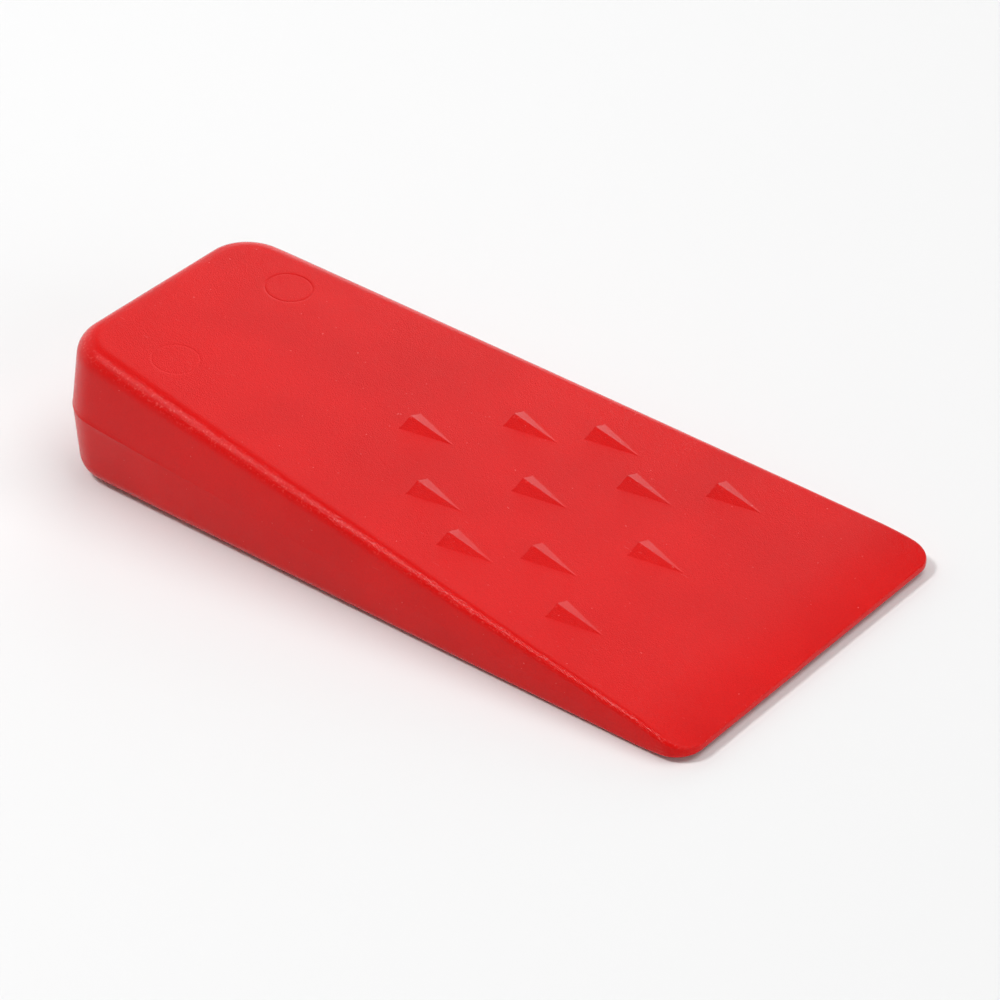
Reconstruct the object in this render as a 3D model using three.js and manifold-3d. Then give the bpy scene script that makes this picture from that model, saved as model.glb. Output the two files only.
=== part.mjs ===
// Felling wedge: one solid injection-moulded plastic wedge, driven into the back cut of a tree with a mallet.
// The wedge flares from a narrow, thick striking end to a wide, thin edge. Its mould parts at mid-thickness, so
// all its walls draft inwards from there, and its two faces mirror each other apart from the anti-kickback spurs
// on the upper one. Millimetres, +Z up, +X along the wedge towards the thin edge, lying flat on its lower face.

import * as THREE from 'three';
import { ConvexGeometry } from 'three/addons/geometries/ConvexGeometry.js';
import { mergeVertices } from 'three/addons/utils/BufferGeometryUtils.js';
import Module from 'manifold-3d';

const { degToRad, lerp } = THREE.MathUtils;

// Outline, measured on the parting plane
const LENGTH = 140;
const THICK_END_WIDTH = 49.1;
const THIN_END_WIDTH = 70.6;
const SIDE_BOW = 0.25; // outward bulge of each long side at mid-length
const THICK_CORNER_RADIUS = 10.1;
const THIN_CORNER_RADIUS = 4.7;

// Thickness, symmetrical about the parting plane
const THICK_END_HEIGHT = 27.7;
const THIN_EDGE_HEIGHT = 1.2;
const NOSE_LENGTH = 11.5; // last stretch, where both faces curve down to the thin edge
const NOSE_DROP = 1.13; // what that curve takes off each face at the thin edge

// Walls and edges
const DRAFT = degToRad(5.4);
const THICK_END_FILLET = 3.8;
const THIN_END_FILLET = 0.95; // where the long sides reach the thin edge
const THIN_EDGE_FILLET = 0.25;

// Anti-kickback spurs: low pyramids with a steep back towards the thick end
const SPUR_LENGTH = 9.25;
const SPUR_WIDTH = 5.7;
const SPUR_HEIGHT = 1.2;
const SPUR_ROOT = 0.8; // depth that each spur is sunk into the body before they are joined
const ROW_PITCH = 11.75;
const FIRST_ROW_X = -12.2; // backs of the row nearest the thick end, from mid-length
const MIDDLE_ROW_OFFSET = 12.8; // from the centre line, in the rows of two
const OUTER_OFFSETS = [19.6, 21.6]; // from the centre line, in the two rows of three
const SPUR_ROWS = [
  [0],
  [-MIDDLE_ROW_OFFSET, MIDDLE_ROW_OFFSET],
  [-OUTER_OFFSETS[0], 0, OUTER_OFFSETS[0]],
  [-MIDDLE_ROW_OFFSET, MIDDLE_ROW_OFFSET],
  [-OUTER_OFFSETS[1], 0, OUTER_OFFSETS[1]],
];

// Mesh resolution
const THICK_CORNER_STEPS = 10;
const THIN_CORNER_STEPS = 8;
const SIDE_STEPS = 12;
const NOSE_STEPS = 5;
const FILLET_STEPS = 6;

// Derived values
const HALF_LENGTH = LENGTH / 2;
const FLARE = Math.atan2((THIN_END_WIDTH - THICK_END_WIDTH) / 2, LENGTH);
const EDGE_HALF_HEIGHT = THIN_EDGE_HEIGHT / 2 + NOSE_DROP;
const TAPER = (THICK_END_HEIGHT / 2 - EDGE_HALF_HEIGHT) / LENGTH;

const wasm = await Module();
wasm.setup();

// How far x lies into the nose: 0 where the faces are still flat, 1 at the thin edge
function noseShare(x) {
  return Math.max(0, 1 - (HALF_LENGTH - x) / NOSE_LENGTH);
}

// Height of the upper face above the parting plane
function faceHeight(x) {
  return EDGE_HALF_HEIGHT + TAPER * (HALF_LENGTH - x) - NOSE_DROP * noseShare(x) ** 2;
}

function faceSlope(x) {
  return -TAPER - (2 * NOSE_DROP * noseShare(x)) / NOSE_LENGTH;
}

// One point of the outline with the direction that faces out of the wedge there
function station(x, y, angle) {
  const outward = new THREE.Vector2(Math.cos(angle), Math.sin(angle));
  const bulge = SIDE_BOW * (1 - (x / HALF_LENGTH) ** 2) * Math.abs(outward.y);
  return { point: new THREE.Vector2(x, y).addScaledVector(outward, bulge), outward };
}

function cornerStations(centreX, radius, fromAngle, toAngle, steps) {
  const centreY = radius / Math.cos(FLARE) - THICK_END_WIDTH / 2 - (centreX + HALF_LENGTH) * Math.tan(FLARE);
  return Array.from({ length: steps + 1 }, (_, i) => {
    const angle = lerp(fromAngle, toAngle, i / steps);
    return station(centreX + radius * Math.cos(angle), centreY + radius * Math.sin(angle), angle);
  });
}

// Stations strictly between two others along the long side, with closer steps over the nose
function sideStations(start, end, angle) {
  const noseStart = HALF_LENGTH - NOSE_LENGTH;
  const straight = Array.from({ length: SIDE_STEPS }, (_, i) => lerp(start.x, noseStart, (i + 1) / SIDE_STEPS));
  const nose = Array.from({ length: NOSE_STEPS - 1 }, (_, i) => lerp(noseStart, end.x, (i + 1) / NOSE_STEPS));
  return [...straight, ...nose].map((x) => {
    const y = lerp(start.y, end.y, (x - start.x) / (end.x - start.x));
    return station(x, y, angle);
  });
}

// The -Y half of the outline from the thick end to the thin edge, then its mirror image back again
function outlineStations() {
  const sideAngle = degToRad(270) - FLARE;
  const thickCorner = cornerStations(
    THICK_CORNER_RADIUS - HALF_LENGTH, THICK_CORNER_RADIUS, degToRad(180), sideAngle, THICK_CORNER_STEPS);
  const thinCorner = cornerStations(
    HALF_LENGTH - THIN_CORNER_RADIUS, THIN_CORNER_RADIUS, sideAngle, degToRad(360), THIN_CORNER_STEPS);
  const side = sideStations(thickCorner.at(-1).point, thinCorner[0].point, sideAngle);
  const half = [...thickCorner, ...side, ...thinCorner];
  const mirrored = half.map(({ point, outward }) => ({
    point: new THREE.Vector2(point.x, -point.y),
    outward: new THREE.Vector2(outward.x, -outward.y),
  }));
  return [...half, ...mirrored.reverse()];
}

function filletRadius({ point, outward }) {
  const alongSide = lerp(THICK_END_FILLET, THIN_END_FILLET, point.x / LENGTH + 0.5);
  return lerp(alongSide, THIN_EDGE_FILLET, Math.max(0, outward.x) ** 2);
}

// Section of the wall above the parting plane: a drafted wall, then a fillet that is tangent to wall and face.
// Each point is a distance inwards from the outline and a height.
function wallSection(at) {
  const radius = filletRadius(at);
  const rise = -faceSlope(at.point.x) * at.outward.x; // change of face height for each step inwards
  const lean = Math.tan(DRAFT);
  const wallReach = radius * Math.hypot(1, lean);
  const topGap = radius * Math.hypot(1, rise);
  const centreHeight = (faceHeight(at.point.x) + rise * wallReach - topGap) / (1 - rise * lean);
  const centreInset = wallReach + centreHeight * lean;
  const topAngle = Math.acos(rise / Math.hypot(1, rise));
  const fillet = Array.from({ length: FILLET_STEPS + 1 }, (_, i) => {
    const angle = lerp(DRAFT, topAngle, i / FILLET_STEPS);
    return { inset: centreInset - radius * Math.cos(angle), height: centreHeight + radius * Math.sin(angle) };
  });
  return [{ inset: 0, height: 0 }, ...fillet];
}

// The wedge without its spurs. Rings of points climb from the lower face over the parting line to the upper
// face, and strips from side to side close both faces, each strip level because the outline is symmetrical.
function wedgeGeometry() {
  const stations = outlineStations();
  const sections = stations.map(wallSection);
  const count = stations.length;
  const top = FILLET_STEPS + 1;
  const positions = [];
  for (let level = -top; level <= top; level += 1) {
    stations.forEach(({ point, outward }, i) => {
      const { inset, height } = sections[i][Math.abs(level)];
      positions.push(point.x - outward.x * inset, point.y - outward.y * inset, Math.sign(level) * height);
    });
  }
  const faces = [];
  for (let ring = 0; ring < 2 * top; ring += 1) {
    for (let i = 0; i < count; i += 1) {
      const low = ring * count + i;
      const lowNext = ring * count + ((i + 1) % count);
      faces.push(low, lowNext, lowNext + count, low, lowNext + count, low + count);
    }
  }
  const upper = 2 * top * count;
  for (let i = 0; i < count / 2 - 1; i += 1) {
    const across = count - 1 - i;
    faces.push(upper + i, upper + i + 1, upper + across - 1, upper + i, upper + across - 1, upper + across);
    faces.push(i + 1, i, across, i + 1, across, across - 1);
  }
  const geometry = new THREE.BufferGeometry();
  geometry.setAttribute('position', new THREE.Float32BufferAttribute(positions, 3));
  geometry.setIndex(faces);
  return geometry;
}

// One spur on the upper face: steep triangular back at x, ridge falling away to a point towards the thin edge
function spurGeometry(x, y) {
  const corners = [
    new THREE.Vector3(0, -SPUR_WIDTH / 2, 0),
    new THREE.Vector3(0, SPUR_WIDTH / 2, 0),
    new THREE.Vector3(SPUR_LENGTH, 0, 0),
  ];
  const roots = corners.map((corner) => corner.clone().setZ(-SPUR_ROOT));
  const geometry = new ConvexGeometry([...corners, ...roots, new THREE.Vector3(0, 0, SPUR_HEIGHT)]);
  return geometry.rotateY(-Math.atan(faceSlope(x))).translate(x, y, faceHeight(x));
}

function toManifold(geometry) {
  const shape = geometry.clone();
  shape.deleteAttribute('normal');
  shape.deleteAttribute('uv');
  const merged = mergeVertices(shape, 1e-5);
  const vertProperties = new Float32Array(merged.attributes.position.array);
  const triVerts = new Uint32Array(merged.index.array);
  return new wasm.Manifold(new wasm.Mesh({ numProp: 3, vertProperties, triVerts }));
}

function toGeometry(manifold) {
  const { vertProperties, triVerts } = manifold.getMesh();
  const indexed = new THREE.BufferGeometry();
  indexed.setAttribute('position', new THREE.BufferAttribute(vertProperties, 3));
  indexed.setIndex(new THREE.BufferAttribute(triVerts, 1));
  const geometry = indexed.toNonIndexed();
  geometry.computeVertexNormals();
  return geometry;
}

function spurredWedgeGeometry() {
  let wedge = toManifold(wedgeGeometry());
  SPUR_ROWS.forEach((offsets, row) => {
    offsets.forEach((y) => {
      wedge = wedge.add(toManifold(spurGeometry(FIRST_ROW_X + row * ROW_PITCH, y)));
    });
  });
  return toGeometry(wedge);
}

// Red plastic with a matte, finely stippled moulded skin
function redPlastic() {
  return new THREE.MeshStandardMaterial({ color: 0xdb2b2d, roughness: 0.55, metalness: 0 });
}

// Tips the wedge until its lower face is level, then puts the origin under the middle of its bounding box
function layFlat(mesh) {
  mesh.rotation.y = Math.atan(TAPER);
  mesh.updateMatrixWorld();
  const box = new THREE.Box3().setFromObject(mesh, true);
  mesh.position.set(-(box.min.x + box.max.x) / 2, 0, -box.min.z);
}

const body = new THREE.Mesh(spurredWedgeGeometry(), redPlastic());
body.name = 'wedge_body';
layFlat(body);

const fellingWedge = new THREE.Group();
fellingWedge.add(body);

export default fellingWedge;
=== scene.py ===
"""Felling wedge: the looks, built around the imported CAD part. Blender 4.5, metres, same frame as the CAD.

One moulded piece replaces the CAD body. It repeats the CAD outline and section with a finer mesh and adds
what moulding leaves on the real thing: crisp spurs with small radii, the witness line of the parting plane,
two ejector-pin marks and a stippled skin.
"""

import bisect
import math

import bmesh
import bpy
from mathutils import Matrix, Vector
from mathutils.geometry import delaunay_2d_cdt

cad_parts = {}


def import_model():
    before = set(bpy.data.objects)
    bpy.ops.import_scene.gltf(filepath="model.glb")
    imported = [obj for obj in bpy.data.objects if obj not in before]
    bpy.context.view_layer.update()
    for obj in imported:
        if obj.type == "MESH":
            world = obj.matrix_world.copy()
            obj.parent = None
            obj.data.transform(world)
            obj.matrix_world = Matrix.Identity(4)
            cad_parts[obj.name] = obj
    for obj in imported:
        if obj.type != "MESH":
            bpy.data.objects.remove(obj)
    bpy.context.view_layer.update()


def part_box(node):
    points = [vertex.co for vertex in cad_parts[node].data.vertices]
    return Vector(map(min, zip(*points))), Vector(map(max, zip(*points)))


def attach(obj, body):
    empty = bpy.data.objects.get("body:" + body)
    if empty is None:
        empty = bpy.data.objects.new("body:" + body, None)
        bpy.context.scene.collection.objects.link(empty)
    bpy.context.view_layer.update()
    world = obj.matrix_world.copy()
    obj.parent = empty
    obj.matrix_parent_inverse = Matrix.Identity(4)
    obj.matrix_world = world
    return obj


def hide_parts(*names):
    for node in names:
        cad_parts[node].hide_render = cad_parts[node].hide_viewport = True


MM = 0.001

# Driving dimensions of the wedge in millimetres, as in the CAD part
LENGTH = 140.0
THICK_END_WIDTH = 49.1
THIN_END_WIDTH = 70.6
SIDE_BOW = 0.25
THICK_CORNER_RADIUS = 10.1
THIN_CORNER_RADIUS = 4.7
THICK_END_HEIGHT = 27.7
THIN_EDGE_HEIGHT = 1.2
NOSE_LENGTH = 11.5
NOSE_DROP = 1.13
DRAFT = math.radians(5.4)
THICK_END_FILLET = 3.8
THIN_END_FILLET = 0.95
THIN_EDGE_FILLET = 0.25
SPUR_LENGTH = 9.25
SPUR_WIDTH = 5.7
SPUR_HEIGHT = 1.2
ROW_PITCH = 11.75
FIRST_ROW_X = -12.2
MIDDLE_ROW_OFFSET = 12.8
OUTER_OFFSETS = (19.6, 21.6)

# Marks that only the visual model carries, in millimetres
SPUR_BACK_RUN = 0.14  # how far the steep back of a spur leans over its height
SPUR_RIDGE_BLEND = 0.07
SPUR_FOOT_BLEND = 0.05
SKIN_INSET = 0.03  # keeps the finer corners inside the CAD's
WITNESS_HEIGHT = 0.05  # parting line, proud of the walls
WITNESS_HALF_WIDTH = 0.14
WITNESS_SHOULDER = 0.7  # share of its height that the line keeps halfway across
WITNESS_WORN = 0.25  # share of its height that is left along the sides
CRISP_CREASE = 0.15  # height over which the parting edge is rounded at the thick end
SOFT_CREASE = 5.5  # and along the sides
MOST_CREASE = 0.8  # the most of a wall's height that this rounding may take
CREASE_FADE = (-62.0, -28.0)  # from crisp to soft, as x
PIN_MARK_X = -50.4
PIN_MARK_OFFSET = 14.6
PIN_MARK_RADIUS = 4.1
PIN_MARK_DEPTH = 0.05
PIN_MARK_FAINT = 0.25  # the mark on the -Y side is worn shallower
PIN_GROOVE_DEPTH = 0.08
PIN_GROOVE_WIDTH = 0.28
PIN_STEP_SHARPNESS = 12

# Mesh resolution
THICK_CORNER_STEPS = 30
THIN_CORNER_STEPS = 20
SIDE_STEPS = 60
NOSE_STEPS = 16
FILLET_STEPS = 14
WALL_STEPS = 10
RIM_SUPPORT = 0.12  # a last narrow strip that keeps the flat faces flat up to their rims
RIM_MARGIN = 0.35
FACE_GRID = 2.6
POINT_GAP = 0.035
SAME_POINT = 1e-7
RELIEF_MARGIN = 1.0  # how far round a spur or a pin mark its relief is worked out

# Mesh lines over a spur, in millimetres: about its back, past its tip, and outside its foot
BACK_LINES = (-0.5, -0.15, -0.05, 0.0, 0.035, 0.07, 0.105, 0.14, 0.175, 0.22, 0.32, 0.55)
LENGTH_STEPS = 18
TIP_LINES = (0.15, 0.5)
FLANK_SHARES = (0.0, 0.012, 0.03, 0.07, 0.2, 0.4, 0.6, 0.8, 0.93, 0.97, 0.99, 1.0)
FOOT_LINES = (0.04, 0.1, 0.3, 0.7)

# Mesh rings about the edge of a pin mark, from inside to outside
RING_LINES = (-2.6, -1.3, -0.6, -0.35, -0.2, -0.13, -0.06, 0.0, 0.06, 0.13, 0.2, 0.35, 0.7)
RING_POINTS = 100
INNER_RING_POINTS_PER_MM = 12
INNER_RING_LIMIT = 3.0

# Camera, from the photo's viewing angle
CAMERA_AZIMUTH = math.radians(39.39)
CAMERA_ELEVATION = math.radians(31.86)
CAMERA_ROLL = math.radians(-2.8)
CAMERA_DISTANCE = 0.7579
CAMERA_AIM = Vector((0.0, 0.0, 0.0084))
CAMERA_SLIDE = (0.00561, -0.00186)  # to the right and up, in the image plane
SENSOR_WIDTH = 36.0
LENS = 165.7
CLIP_START = 0.01

# Plastic. Colours are linear, and scales are per metre
CLOUD_REDS = ((0.572, 0.0050, 0.0045), (0.638, 0.0060, 0.0052))
CLOUD_SCALE = 45
GRAIN_RED = (0.40, 0.0035, 0.0045)
GRAIN_SCALE = 3600
GRAIN_STRENGTH = 0.22
SPECK_RED = (0.80, 0.20, 0.18)
SPECK_SCALE = 1700
SPECK_STRENGTH = 0.45
SCRATCH_RED = (0.80, 0.22, 0.20)
SCRATCH_SCALES = (90, 2600, 2600)
SCRATCH_TURN = 0.9
SCRATCH_STRENGTH = 0.09
SCRATCH_PATCH_SCALE = 38
# Pale specks along fillets and spur ridges: partly edge wear, partly a painted highlight of the sheen there
SCUFF_AND_SHEEN_RED = (0.78, 0.09, 0.08)
SCUFF_AND_SHEEN_SCALE = 2100
SCUFF_AND_SHEEN_STRENGTH = 0.50
ROUGHNESS = (0.20, 0.26)
ROUGHNESS_SCALE = 2600
EDGE_ROUGHNESS = 0.66  # what the edges, rubbed smooth, keep of it
STIPPLE_SCALE = 5600
STIPPLE_DEPTH = 0.00006
PLASTIC_IOR = 1.46
PLASTIC_SPECULAR = 0.14

# Floor
FLOOR_HALF_SIZE = 6.0
FLOOR_DROP = 0.00005
FLOOR_COLOUR = (0.775, 0.775, 0.775, 1)
FLOOR_ROUGHNESS = 0.9
FLOOR_SPECULAR = 0.1

# Light: the tent's brightness by height, where 0 is straight down, 0.5 level and 1 straight up
TENT = ((0.01, 0.30), (0.475, 0.53), (0.60, 0.53), (0.66, 0.12), (0.99, 0.18))
LIGHTS = {  # direction, distance and size in metres, power in watts
    "key": ((-0.33, -0.38, 0.865), 1.0, 0.24, 4.8),
    "overhead": ((0.36, 0.24, 0.90), 2.0, 1.6, 19.0),
    "left": ((-1.0, 0.0, 0.30), 1.0, 1.4, 4.2),
    "right": ((1.0, -0.25, 0.22), 1.2, 1.0, 6.5),
    "back": ((-0.45, 0.85, 0.25), 1.0, 0.7, 1.9),
    "back_high": ((-0.33, 0.66, 0.68), 0.7, 0.5, 0.42),
}

# Derived values
HALF_LENGTH = LENGTH / 2
FLARE = math.atan2((THIN_END_WIDTH - THICK_END_WIDTH) / 2, LENGTH)
EDGE_HALF_HEIGHT = THIN_EDGE_HEIGHT / 2 + NOSE_DROP
TAPER = (THICK_END_HEIGHT / 2 - EDGE_HALF_HEIGHT) / LENGTH
SPUR_ROWS = (
    (0.0,),
    (-MIDDLE_ROW_OFFSET, MIDDLE_ROW_OFFSET),
    (-OUTER_OFFSETS[0], 0.0, OUTER_OFFSETS[0]),
    (-MIDDLE_ROW_OFFSET, MIDDLE_ROW_OFFSET),
    (-OUTER_OFFSETS[1], 0.0, OUTER_OFFSETS[1]),
)
SPURS = [(FIRST_ROW_X + row * ROW_PITCH, y) for row, offsets in enumerate(SPUR_ROWS) for y in offsets]
PIN_MARKS = [(PIN_MARK_X, -PIN_MARK_OFFSET, PIN_MARK_FAINT), (PIN_MARK_X, PIN_MARK_OFFSET, 1.0)]


def lerp(a, b, share):
    return a + (b - a) * share


def smooth_min(a, b, blend):
    overlap = max(blend - abs(a - b), 0.0)
    return min(a, b) - overlap * overlap / (4 * blend)


# ---- The wedge's shape, about its parting plane ----


def nose_share(x):
    """0 where the faces are flat, 1 at the thin edge."""
    return max(0.0, 1 - (HALF_LENGTH - x) / NOSE_LENGTH)


def face_height(x):
    return EDGE_HALF_HEIGHT + TAPER * (HALF_LENGTH - x) - NOSE_DROP * nose_share(x) ** 2


def face_slope(x):
    return -TAPER - 2 * NOSE_DROP * nose_share(x) / NOSE_LENGTH


def station(x, y, angle):
    """A point of the outline and the direction that faces out of the wedge there."""
    outward = Vector((math.cos(angle), math.sin(angle)))
    bulge = SIDE_BOW * (1 - (x / HALF_LENGTH) ** 2) * abs(outward.y)
    return Vector((x, y)) + outward * bulge, outward


def corner_stations(centre_x, radius, start, end, steps):
    centre_y = radius / math.cos(FLARE) - THICK_END_WIDTH / 2 - (centre_x + HALF_LENGTH) * math.tan(FLARE)
    angles = [lerp(start, end, i / steps) for i in range(steps + 1)]
    return [station(centre_x + radius * math.cos(a), centre_y + radius * math.sin(a), a) for a in angles]


def side_stations(start, end, angle):
    """Stations strictly between two others, with closer steps over the nose."""
    nose_start = HALF_LENGTH - NOSE_LENGTH
    xs = [lerp(start.x, nose_start, (i + 1) / SIDE_STEPS) for i in range(SIDE_STEPS)]
    xs += [lerp(nose_start, end.x, (i + 1) / NOSE_STEPS) for i in range(NOSE_STEPS - 1)]
    return [station(x, lerp(start.y, end.y, (x - start.x) / (end.x - start.x)), angle) for x in xs]


def end_stations(start, end, steps, angle):
    """Stations strictly between the two corners of a square end."""
    return [station(start.x, lerp(start.y, end.y, (i + 1) / steps), angle) for i in range(steps - 1)]


def mirror_stations(stations):
    return [(Vector((p.x, -p.y)), Vector((n.x, -n.y))) for p, n in reversed(stations)]


def outline_stations():
    """The whole outline, anticlockwise, from the thick end's corner on the -Y side."""
    side_angle = math.radians(270) - FLARE
    thick_x = THICK_CORNER_RADIUS - HALF_LENGTH
    thin_x = HALF_LENGTH - THIN_CORNER_RADIUS
    thick_corner = corner_stations(
        thick_x, THICK_CORNER_RADIUS, math.radians(180), side_angle, THICK_CORNER_STEPS
    )
    thin_corner = corner_stations(
        thin_x, THIN_CORNER_RADIUS, side_angle, math.radians(360), THIN_CORNER_STEPS
    )
    half = thick_corner + side_stations(thick_corner[-1][0], thin_corner[0][0], side_angle) + thin_corner
    other_half = mirror_stations(half)
    thin_edge = end_stations(half[-1][0], other_half[0][0], round(THIN_END_WIDTH / FACE_GRID), 0.0)
    thick_end = end_stations(other_half[-1][0], half[0][0], round(THICK_END_WIDTH / FACE_GRID), math.pi)
    return half + thin_edge + other_half + thick_end


def fillet_radius(point, outward):
    along_side = lerp(THICK_END_FILLET, THIN_END_FILLET, point.x / LENGTH + 0.5)
    return lerp(along_side, THIN_EDGE_FILLET, max(0.0, outward.x) ** 2)


def crease_share(x):
    """1 round the thick end, where the parting edge is crisp, and 0 along the sides, where it is soft."""
    passed = min(1.0, max(0.0, (x - CREASE_FADE[0]) / (CREASE_FADE[1] - CREASE_FADE[0])))
    return 1 - passed * passed * (3 - 2 * passed)


def wall_inset(height, soft):
    """How far the drafted wall has gone in at a height, its parting edge rounded over a soft height."""
    lean = math.tan(DRAFT)
    if height < soft:
        return lean * (height * height + soft * soft) / (2 * soft)
    return height * lean


def wall_section(point, outward):
    """Wall and fillet from the parting plane up, as (inset, height, share of the fillet passed)."""
    radius = fillet_radius(point, outward)
    rise = -face_slope(point.x) * outward.x
    lean = math.tan(DRAFT)
    wall_reach = radius * math.hypot(1, lean)
    top_gap = radius * math.hypot(1, rise)
    centre_height = (face_height(point.x) + rise * wall_reach - top_gap) / (1 - rise * lean)
    centre_inset = wall_reach + centre_height * lean
    top_angle = math.acos(rise / math.hypot(1, rise))
    foot = centre_height + radius * math.sin(DRAFT)
    crisp = crease_share(point.x)
    soft = min(lerp(SOFT_CREASE, CRISP_CREASE, crisp), foot * MOST_CREASE)
    proud = WITNESS_HEIGHT * lerp(WITNESS_WORN, 1.0, crisp)
    witness = min(WITNESS_HALF_WIDTH, foot / 3)
    recess = SKIN_INSET + WITNESS_HEIGHT
    section = [
        (recess - proud + wall_inset(0, soft), 0.0, 0.0),
        (recess - proud * WITNESS_SHOULDER + wall_inset(0, soft), witness / 2, 0.0),
        (recess + wall_inset(witness, soft), witness, 0.0),
    ]
    for i in range(1, WALL_STEPS):
        height = lerp(witness, foot, i / WALL_STEPS)
        section.append((recess + wall_inset(height, soft), height, 0.0))
    for i in range(FILLET_STEPS + 1):
        angle = lerp(DRAFT, top_angle, i / FILLET_STEPS)
        inset = recess + centre_inset - radius * math.cos(angle)
        section.append((inset, centre_height + radius * math.sin(angle) + rise * recess, i / FILLET_STEPS))
    inset, height, passed = section[-1]
    section.append((inset + RIM_SUPPORT, height + rise * RIM_SUPPORT, passed))
    return section


# ---- Relief on the upper face ----


def spur_relief(along, across):
    """Height of one spur over the face, from the foot of its back."""
    flank = SPUR_HEIGHT * (1 - along / SPUR_LENGTH)
    fall = 2 * SPUR_HEIGHT / SPUR_WIDTH * across
    back = SPUR_HEIGHT * along / SPUR_BACK_RUN
    roof = smooth_min(flank - fall, flank + fall, SPUR_RIDGE_BLEND)
    return -smooth_min(-smooth_min(roof, back, SPUR_RIDGE_BLEND), 0.0, SPUR_FOOT_BLEND)


def pin_relief(distance):
    """An ejector pin's print: a disc a little below the face inside a shallow groove."""
    edge = distance - PIN_MARK_RADIUS
    groove = PIN_GROOVE_DEPTH * math.exp(-((edge / PIN_GROOVE_WIDTH) ** 2) * 4)
    sunk = PIN_MARK_DEPTH / (1 + math.exp(edge / PIN_GROOVE_WIDTH * PIN_STEP_SHARPNESS))
    return -groove - sunk


def upper_relief(x, y):
    for spur_x, spur_y in SPURS:
        along, across = x - spur_x, y - spur_y
        if -RELIEF_MARGIN < along < SPUR_LENGTH + RELIEF_MARGIN and abs(across) < SPUR_WIDTH:
            return spur_relief(along, across)
    for pin_x, pin_y, strength in PIN_MARKS:
        distance = math.hypot(x - pin_x, y - pin_y)
        if distance < PIN_MARK_RADIUS + RELIEF_MARGIN:
            return strength * pin_relief(distance)
    return 0.0


def spur_points(spur_x, spur_y):
    """Mesh points that follow one spur's back, ridge and foot."""
    rows = list(BACK_LINES)
    rows += [lerp(BACK_LINES[-1], SPUR_LENGTH, (i + 1) / LENGTH_STEPS) for i in range(LENGTH_STEPS)]
    rows += [SPUR_LENGTH + past for past in TIP_LINES]
    points = []
    for along in rows:
        half_width = SPUR_WIDTH / 2 * min(1, max(0, 1 - along / SPUR_LENGTH))
        offsets = [share * half_width for share in FLANK_SHARES]
        offsets += [half_width + outside for outside in FOOT_LINES]
        for across in offsets:
            points += [(spur_x + along, spur_y + across), (spur_x + along, spur_y - across)]
    return points


def pin_points(pin_x, pin_y):
    """Mesh points on rings about one pin mark."""
    points = [(pin_x, pin_y)]
    for line in RING_LINES:
        ring = PIN_MARK_RADIUS + line
        count = RING_POINTS if ring > INNER_RING_LIMIT else round(ring * INNER_RING_POINTS_PER_MM)
        for i in range(count):
            angle = 2 * math.pi * i / count
            points.append((pin_x + ring * math.cos(angle), pin_y + ring * math.sin(angle)))
    return points


def detail_points():
    points = []
    for x, y in SPURS:
        points += spur_points(x, y)
    for x, y, _ in PIN_MARKS:
        points += pin_points(x, y)
    return points


# ---- Building the mesh ----


def rim_profile(rim):
    """A function that gives half the width of a face, whose rim is this loop, at any x."""
    side = sorted((p.x, p.y) for p in rim if p.y > 0)
    xs = [x for x, _ in side]

    def half_width(x):
        i = bisect.bisect(xs, x)
        if i in (0, len(xs)):
            return 0.0
        (x0, y0), (x1, y1) = side[i - 1], side[i]
        return lerp(y0, y1, (x - x0) / (x1 - x0))

    return half_width


def thin_out(points, gap):
    """Drops each point that is nearer than gap to one already kept."""
    kept = []
    cells = {}
    for x, y in points:
        cell = (math.floor(x / gap), math.floor(y / gap))
        near = [p for i in (-1, 0, 1) for j in (-1, 0, 1) for p in cells.get((cell[0] + i, cell[1] + j), [])]
        if all(math.hypot(x - px, y - py) >= gap for px, py in near):
            kept.append((x, y))
            cells.setdefault(cell, []).append((x, y))
    return kept


def grid_points(step):
    columns = round(LENGTH / step)
    rows = round(THIN_END_WIDTH / step)
    xs = [lerp(-HALF_LENGTH, HALF_LENGTH, i / columns) for i in range(columns + 1)]
    ys = [lerp(-THIN_END_WIDTH / 2, THIN_END_WIDTH / 2, i / rows) for i in range(rows + 1)]
    return [(x, y) for x in xs for y in ys]


def grid_cell(x, y):
    return round(x / FACE_GRID), round(y / FACE_GRID)


def face_layout(rim, detail):
    """Points inside a face's rim, the fine ones first, and its triangles as indices into rim + points."""
    half_width = rim_profile(rim)
    spots = thin_out(detail, POINT_GAP)
    taken = {grid_cell(x, y) for x, y in spots}
    grid = [(x, y) for x, y in grid_points(FACE_GRID) if grid_cell(x, y) not in taken]
    spots = [(x, y) for x, y in spots + grid if half_width(x) - abs(y) > RIM_MARGIN]
    flat = [Vector((p.x, p.y)) for p in rim] + [Vector(p) for p in spots]
    loop = [(i, (i + 1) % len(rim)) for i in range(len(rim))]
    verts, _, faces, origin, _, _ = delaunay_2d_cdt(flat, loop, [], 1, SAME_POINT)
    place = [sources[0] for sources in origin]
    if len(verts) != len(flat):
        raise RuntimeError("the face's points are not all distinct")
    return spots, [[place[i] for i in face] for face in faces]


def relief_point(x, y, height):
    """A point on the upper face, lifted off it along its normal."""
    slope = face_slope(x)
    normal = Vector((-slope, 0, 1)).normalized()
    return Vector((x, y, face_height(x))) + normal * height


def wall_rings(bm, edge_layer):
    """A ring of vertices for each level of the wall, from the lower face's rim to the upper's."""
    stations = outline_stations()
    sections = [wall_section(point, outward) for point, outward in stations]
    top = len(sections[0]) - 1
    rings = []
    for level in range(-top, top + 1):
        ring = []
        for (point, outward), section in zip(stations, sections):
            inset, height, passed = section[abs(level)]
            spot = point - outward * inset
            vert = bm.verts.new((spot.x, spot.y, math.copysign(height, level)))
            vert[edge_layer] = math.sin(math.pi * passed)
            ring.append(vert)
        rings.append(ring)
    return rings


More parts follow.
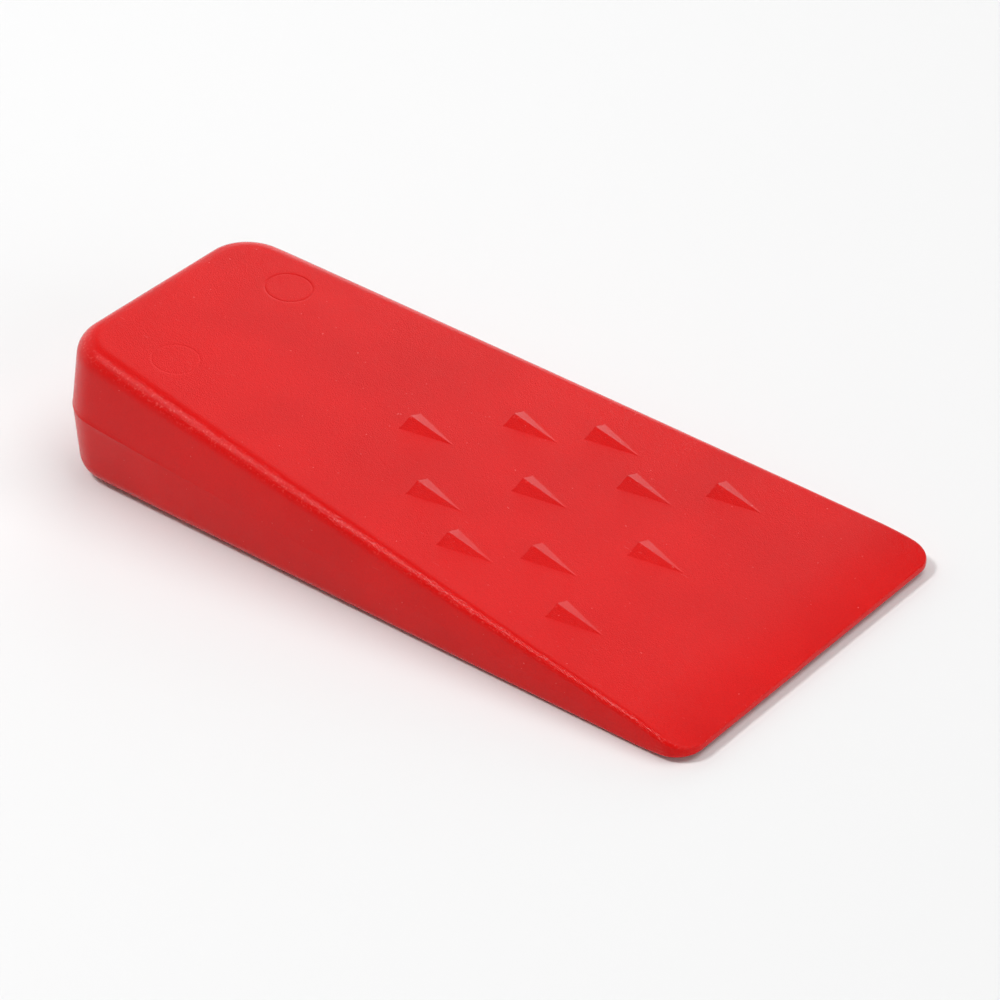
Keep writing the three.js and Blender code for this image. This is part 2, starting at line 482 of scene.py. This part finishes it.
def bridge(bm, low, high):
    """Quads between two rings of equal length."""
    for i in range(len(low)):
        j = (i + 1) % len(low)
        bm.faces.new((low[i], low[j], high[j], high[i]))


def build_mesh():
    bm = bmesh.new()
    edge_layer = bm.verts.layers.float.new("edge")
    rings = wall_rings(bm, edge_layer)
    for low, high in zip(rings, rings[1:]):
        bridge(bm, low, high)
    close_face(bm, rings[-1], detail_points(), edge_layer, up=True)
    close_face(bm, rings[0], [], edge_layer, up=False)
    bmesh.ops.recalc_face_normals(bm, faces=bm.faces)
    mesh = bpy.data.meshes.new("wedge_moulding")
    bm.to_mesh(mesh)
    bm.free()
    return mesh


def close_face(bm, ring, detail, edge_layer, up):
    """Fills a rim with the upper face and its relief, or with the plain lower face."""
    rim = [Vector((v.co.x, v.co.y)) for v in ring]
    spots, triangles = face_layout(rim, detail)
    verts = list(ring)
    for x, y in spots:
        relief = upper_relief(x, y) if up else 0.0
        place = relief_point(x, y, relief)
        vert = bm.verts.new(place if up else (place.x, place.y, -place.z))
        vert[edge_layer] = min(1.0, max(0.0, relief / SPUR_HEIGHT))
        verts.append(vert)
    for triangle in triangles:
        bm.faces.new([verts[i] for i in triangle])


def lay_flat(mesh):
    """Tips the mesh until its lower face is level and sets it in the CAD node's box, in metres."""
    mesh.transform(Matrix.Rotation(math.atan(TAPER), 4, "Y") @ Matrix.Scale(MM, 4))
    low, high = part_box("wedge_body")
    xs = [v.co.x for v in mesh.vertices]
    lowest = min(v.co.z for v in mesh.vertices)
    slide = (low.x + high.x) / 2 - (min(xs) + max(xs)) / 2
    mesh.transform(Matrix.Translation((slide, 0, low.z - lowest)))


# ---- Material ----


class Skin:
    """Small helpers for wiring one procedural material."""

    def __init__(self, name):
        self.material = bpy.data.materials.new(name)
        self.material.use_nodes = True
        self.nodes = self.material.node_tree.nodes
        self.links = self.material.node_tree.links
        self.shader = self.nodes["Principled BSDF"]
        self.coords = self.nodes.new("ShaderNodeTexCoord").outputs["Object"]

    def noise(self, scale, detail=2.0, vector=None):
        node = self.nodes.new("ShaderNodeTexNoise")
        node.inputs["Scale"].default_value = scale
        node.inputs["Detail"].default_value = detail
        self.links.new(vector or self.coords, node.inputs["Vector"])
        return node.outputs["Fac"]

    def stretched(self, scale, turn):
        """Coordinates drawn out along one direction of the upper face."""
        node = self.nodes.new("ShaderNodeMapping")
        node.inputs["Rotation"].default_value = (0, 0, turn)
        node.inputs["Scale"].default_value = scale
        self.links.new(self.coords, node.inputs["Vector"])
        return node.outputs["Vector"]

    def mapped(self, value, low, high, to_low=0, to_high=1):
        """Maps low..high to to_low..to_high and clamps."""
        node = self.nodes.new("ShaderNodeMapRange")
        for name, number in zip(("From Min", "From Max", "To Min", "To Max"), (low, high, to_low, to_high)):
            node.inputs[name].default_value = number
        self.links.new(value, node.inputs["Value"])
        return node.outputs["Result"]

    def times(self, a, b):
        node = self.nodes.new("ShaderNodeMath")
        node.operation = "MULTIPLY"
        self.links.new(a, node.inputs[0])
        self.links.new(b, node.inputs[1])
        return node.outputs["Value"]

    def mixed(self, share, a, b):
        """Mixes two colours, each a socket or plain numbers."""
        node = self.nodes.new("ShaderNodeMix")
        node.data_type = "RGBA"
        self.links.new(share, node.inputs["Factor"])
        for name, colour in (("A", a), ("B", b)):
            socket = next(s for s in node.inputs if s.name == name and s.type == "RGBA")
            if isinstance(colour, tuple):
                socket.default_value = (*colour, 1)
            else:
                self.links.new(colour, socket)
        return next(s for s in node.outputs if s.type == "RGBA")

    def bumped(self, height, distance):
        node = self.nodes.new("ShaderNodeBump")
        node.inputs["Strength"].default_value = 1.0
        node.inputs["Distance"].default_value = distance
        self.links.new(height, node.inputs["Height"])
        self.links.new(node.outputs["Normal"], self.shader.inputs["Normal"])


def plain_colour(skin):
    """Red with faint clouding and a darker grain."""
    clouds = skin.mapped(skin.noise(CLOUD_SCALE, 4), 0.35, 0.65)
    grain = skin.mapped(skin.noise(GRAIN_SCALE, 1), 0.62, 0.30, 0, GRAIN_STRENGTH)
    return skin.mixed(grain, skin.mixed(clouds, *CLOUD_REDS), GRAIN_RED)


def with_specks(skin, colour):
    specks = skin.mapped(skin.noise(SPECK_SCALE, 1), 0.775, 0.81, 0, SPECK_STRENGTH)
    return skin.mixed(specks, colour, SPECK_RED)


def with_scratches(skin, colour):
    """Thin pale lines, all in one direction and only in patches."""
    along = skin.stretched(SCRATCH_SCALES, SCRATCH_TURN)
    lines = skin.mapped(skin.noise(1.0, 1, along), 0.745, 0.78, 0, SCRATCH_STRENGTH)
    patches = skin.mapped(skin.noise(SCRATCH_PATCH_SCALE, 1), 0.50, 0.60)
    return skin.mixed(skin.times(lines, patches), colour, SCRATCH_RED)


def with_scuffs_and_painted_sheen(skin, colour, edge):
    """Pale broken specks along rounded edges and spur ridges: partly wear, partly a painted highlight that
    stands in for the sparkly sheen on the fillets.
    """
    edge_wear_and_sheen = skin.mapped(edge, 0.55, 1.0, 0, SCUFF_AND_SHEEN_STRENGTH)
    broken = skin.mapped(skin.noise(SCUFF_AND_SHEEN_SCALE, 2), 0.55, 0.70)
    return skin.mixed(skin.times(edge_wear_and_sheen, broken), colour, SCUFF_AND_SHEEN_RED)


def plastic_material():
    """Red plastic with a fine moulded stipple, faint clouding, light specks, scratches, and scuffed edges
    whose pale specks are partly a painted highlight.
    """
    skin = Skin("stippled_red_plastic")
    skin.shader.inputs["IOR"].default_value = PLASTIC_IOR
    skin.shader.inputs["Specular IOR Level"].default_value = PLASTIC_SPECULAR
    edge_node = skin.nodes.new("ShaderNodeAttribute")
    edge_node.attribute_name = "edge"
    edge = edge_node.outputs["Fac"]

    colour = with_scratches(skin, with_specks(skin, plain_colour(skin)))
    # edge wear together with a painted highlight along the fillets and spur ridges
    colour = with_scuffs_and_painted_sheen(skin, colour, edge)
    skin.links.new(colour, skin.shader.inputs["Base Color"])

    variation = skin.mapped(skin.noise(ROUGHNESS_SCALE, 2), 0.3, 0.7)
    roughness = skin.mapped(variation, 0, 1, *ROUGHNESS)
    polish = skin.mapped(edge, 0.2, 0.8, 1.0, EDGE_ROUGHNESS)
    skin.links.new(skin.times(polish, roughness), skin.shader.inputs["Roughness"])
    skin.bumped(skin.noise(STIPPLE_SCALE, 1), STIPPLE_DEPTH)
    return skin.material


# ---- Stage ----


def make_camera():
    scene = bpy.context.scene
    data = bpy.data.cameras.new("camera")
    data.sensor_width = SENSOR_WIDTH
    data.lens = LENS
    data.clip_start = CLIP_START
    data.dof.use_dof = False
    camera = bpy.data.objects.new("camera", data)
    scene.collection.objects.link(camera)
    away = Vector((math.sin(CAMERA_AZIMUTH), -math.cos(CAMERA_AZIMUTH), 0))
    back = away * math.cos(CAMERA_ELEVATION) + Vector((0, 0, math.sin(CAMERA_ELEVATION)))
    level_right = Vector((math.cos(CAMERA_AZIMUTH), math.sin(CAMERA_AZIMUTH), 0))
    level_up = back.cross(level_right)
    right = level_right * math.cos(CAMERA_ROLL) + level_up * math.sin(CAMERA_ROLL)
    up = level_up * math.cos(CAMERA_ROLL) - level_right * math.sin(CAMERA_ROLL)
    turn = Matrix((right, up, back)).transposed().to_4x4()
    place = CAMERA_AIM + right * CAMERA_SLIDE[0] + up * CAMERA_SLIDE[1] + back * CAMERA_DISTANCE
    camera.matrix_world = Matrix.Translation(place) @ turn
    scene.camera = camera


def make_floor():
    """A large pale card, a hair below the wedge."""
    bm = bmesh.new()
    bmesh.ops.create_grid(bm, x_segments=1, y_segments=1, size=FLOOR_HALF_SIZE)
    mesh = bpy.data.meshes.new("floor")
    bm.to_mesh(mesh)
    bm.free()
    floor = bpy.data.objects.new("floor", mesh)
    floor.location.z = -FLOOR_DROP
    bpy.context.scene.collection.objects.link(floor)
    material = bpy.data.materials.new("white_card")
    material.use_nodes = True
    shader = material.node_tree.nodes["Principled BSDF"]
    shader.inputs["Base Color"].default_value = FLOOR_COLOUR
    shader.inputs["Roughness"].default_value = FLOOR_ROUGHNESS
    shader.inputs["Specular IOR Level"].default_value = FLOOR_SPECULAR
    mesh.materials.append(material)


def area_light(name, direction, distance, size, power):
    """A round softbox that faces the origin."""
    data = bpy.data.lights.new(name, "AREA")
    data.shape = "DISK"
    data.size = size
    data.energy = power
    lamp = bpy.data.objects.new(name, data)
    bpy.context.scene.collection.objects.link(lamp)
    away = Vector(direction).normalized()
    lamp.location = away * distance
    lamp.rotation_euler = away.to_track_quat("Z", "Y").to_euler()


def make_lights():
    """A soft tent, brightest about level, and round softboxes, the smallest for the near edge's sheen."""
    world = bpy.data.worlds.new("studio")
    bpy.context.scene.world = world
    world.use_nodes = True
    nodes, links = world.node_tree.nodes, world.node_tree.links
    direction = nodes.new("ShaderNodeTexCoord").outputs["Generated"]
    split = nodes.new("ShaderNodeSeparateXYZ")
    links.new(direction, split.inputs["Vector"])
    height = nodes.new("ShaderNodeMapRange")
    height.inputs["From Min"].default_value = -1.0
    links.new(split.outputs["Z"], height.inputs["Value"])
    tent = nodes.new("ShaderNodeValToRGB")
    stops = tent.color_ramp.elements
    for place, level in TENT:
        stops.new(place).color = (level, level, level, 1)
    stops.remove(stops[0])
    stops.remove(stops[-1])
    links.new(height.outputs["Result"], tent.inputs["Fac"])
    links.new(tent.outputs["Color"], nodes["Background"].inputs["Color"])
    for name, light in LIGHTS.items():
        area_light(name, *light)


def main():
    scene = bpy.context.scene
    scene.view_settings.view_transform = "Standard"
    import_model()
    make_camera()

    mesh = build_mesh()
    lay_flat(mesh)
    mesh.shade_smooth()
    mesh.materials.append(plastic_material())
    wedge = bpy.data.objects.new("wedge_moulding", mesh)
    scene.collection.objects.link(wedge)
    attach(wedge, "root")
    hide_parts("wedge_body")

    make_floor()
    make_lights()


main()
